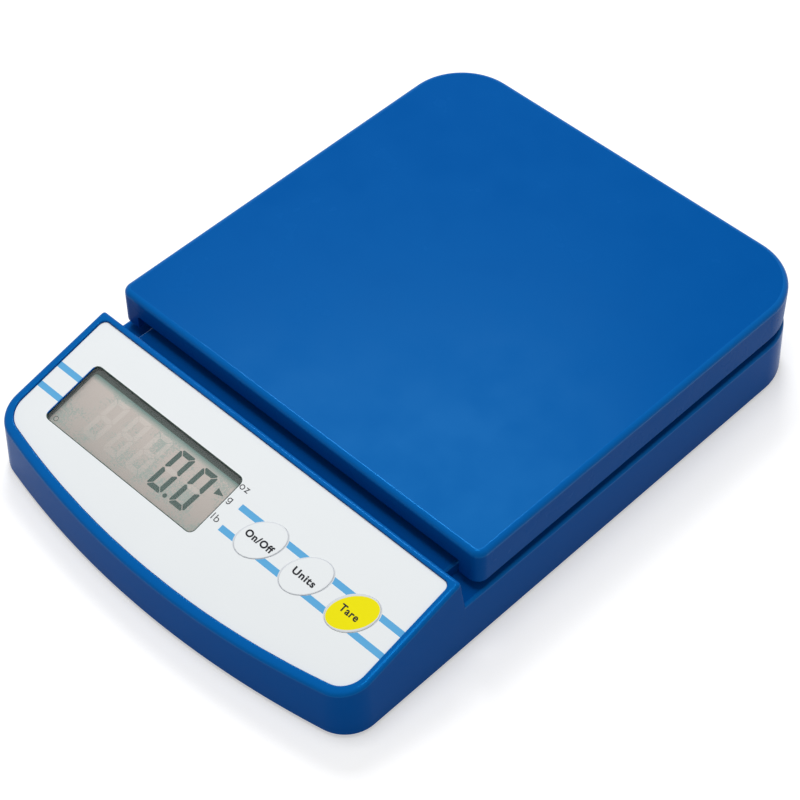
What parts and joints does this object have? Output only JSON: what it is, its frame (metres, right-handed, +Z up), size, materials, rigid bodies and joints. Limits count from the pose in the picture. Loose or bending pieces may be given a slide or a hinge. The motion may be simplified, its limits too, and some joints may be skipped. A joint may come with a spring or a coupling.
{
  "type": "compact balance",
  "caption": "Compact electronic balance with a square lift-off weighing pan, a sloping console with a digital display and oval keys, and a battery bay underneath.",
  "frame": {"origin": "on the surface that the balance stands on, under the middle of its bounding box", "axes": "+X to the user's right, +Y to the rear, away from the console, +Z up"},
  "size_m": [0.147, 0.2064, 0.0348],
  "materials": {
    "case_plastic": "moulded ABS, satin",
    "pan_plastic": "moulded ABS, satin",
    "foot_rubber": "matt",
    "zinc_steel": "zinc plated",
    "nickel_steel": "nickel plated",
    "panel_film": "printed polyester film, fine matt grain",
    "clear_plastic": "clear acrylic",
    "lcd_glass": "polariser film over glass",
    "gasket_foam": "closed-cell foam, matt",
    "white_plastic": "moulded",
    "elastomer": "matt",
    "circuit_board": "solder mask",
    "chip_plastic": "moulded epoxy",
    "capacitor_can": "bright",
    "switch_plastic": "moulded",
    "key_film": "printed polyester film",
    "yellow_key_film": "printed polyester film",
    "cell_aluminium": "milled",
    "silicone": "matt",
    "cable_jacket": "satin",
    "wire_insulation": "smooth",
    "carrier_plastic": "moulded ABS",
    "cell_sleeve": "shrink sleeve",
    "inlet_plastic": "moulded"
  },
  "bodies": {
    "case": {"top_case": "case_plastic", "bottom_case": "case_plastic", "foot_front_left": "foot_rubber", "foot_front_right": "foot_rubber", "foot_rear_left": "foot_rubber", "foot_rear_right": "foot_rubber", "case_screws": "zinc_steel", "overlay": "panel_film", "display_window": "clear_plastic", "display_gasket": "gasket_foam", "lcd_glass": "lcd_glass", "lcd_frame": "white_plastic", "lcd_connector": "elastomer", "main_board": "circuit_board", "board_screws": "zinc_steel", "processor": "chip_plastic", "converter_chip": "chip_plastic", "board_parts": "capacitor_can", "cable_sockets": "white_plastic", "cable_plugs": "white_plastic", "switch_on_off": "switch_plastic", "switch_units": "switch_plastic", "switch_tare": "switch_plastic", "load_cell": "cell_aluminium", "gauge_covers": "silicone", "lower_spacer": "cell_aluminium", "base_screws": "zinc_steel", "overload_stop": "zinc_steel", "load_cell_cable": "cable_jacket", "battery_1": "cell_sleeve", "battery_2": "cell_sleeve", "battery_3": "cell_sleeve", "battery_springs": "nickel_steel", "battery_plates": "nickel_steel", "battery_leads": "wire_insulation", "dc_inlet": "inlet_plastic", "inlet_leads": "wire_insulation"},
    "on_off_key": {"key_on_off": "key_film", "plunger_on_off": "switch_plastic"},
    "units_key": {"key_units": "key_film", "plunger_units": "switch_plastic"},
    "tare_key": {"key_tare": "yellow_key_film", "plunger_tare": "switch_plastic"},
    "platform": {"pan_carrier": "carrier_plastic", "upper_spacer": "cell_aluminium", "carrier_screws": "zinc_steel", "pan_cushions": "foot_rubber"},
    "weighing_pan": {"pan": "pan_plastic"},
    "door": {"battery_door": "case_plastic"}
  },
  "joints": [
    {"name": "on_off_press", "type": "slide", "parent": "case", "child": "on_off_key", "axis": [0, 0.2538, -0.9673], "range_m": [0, 0.0004], "stiffness_N_per_m": 5000},
    {"name": "units_press", "type": "slide", "parent": "case", "child": "units_key", "axis": [0, 0.2538, -0.9673], "range_m": [0, 0.0004], "stiffness_N_per_m": 5000},
    {"name": "tare_press", "type": "slide", "parent": "case", "child": "tare_key", "axis": [0, 0.2538, -0.9673], "range_m": [0, 0.0004], "stiffness_N_per_m": 5000},
    {"name": "load_travel", "type": "slide", "parent": "case", "child": "platform", "axis": [0, 0, -1], "range_m": [0, 0.0004], "stiffness_N_per_m": 50000, "deforming": ["load_cell"]},
    {"name": "pan_lift", "type": "slide", "parent": "platform", "child": "weighing_pan", "axis": [0, 0, 1], "range_m": [0, 0.03]},
    {"name": "door_swing", "type": "hinge", "parent": "case", "child": "door", "pos_m": [0, -0.03805, 0.0015], "axis": [-1, 0, 0], "range_deg": [0, 60]}
  ]
}
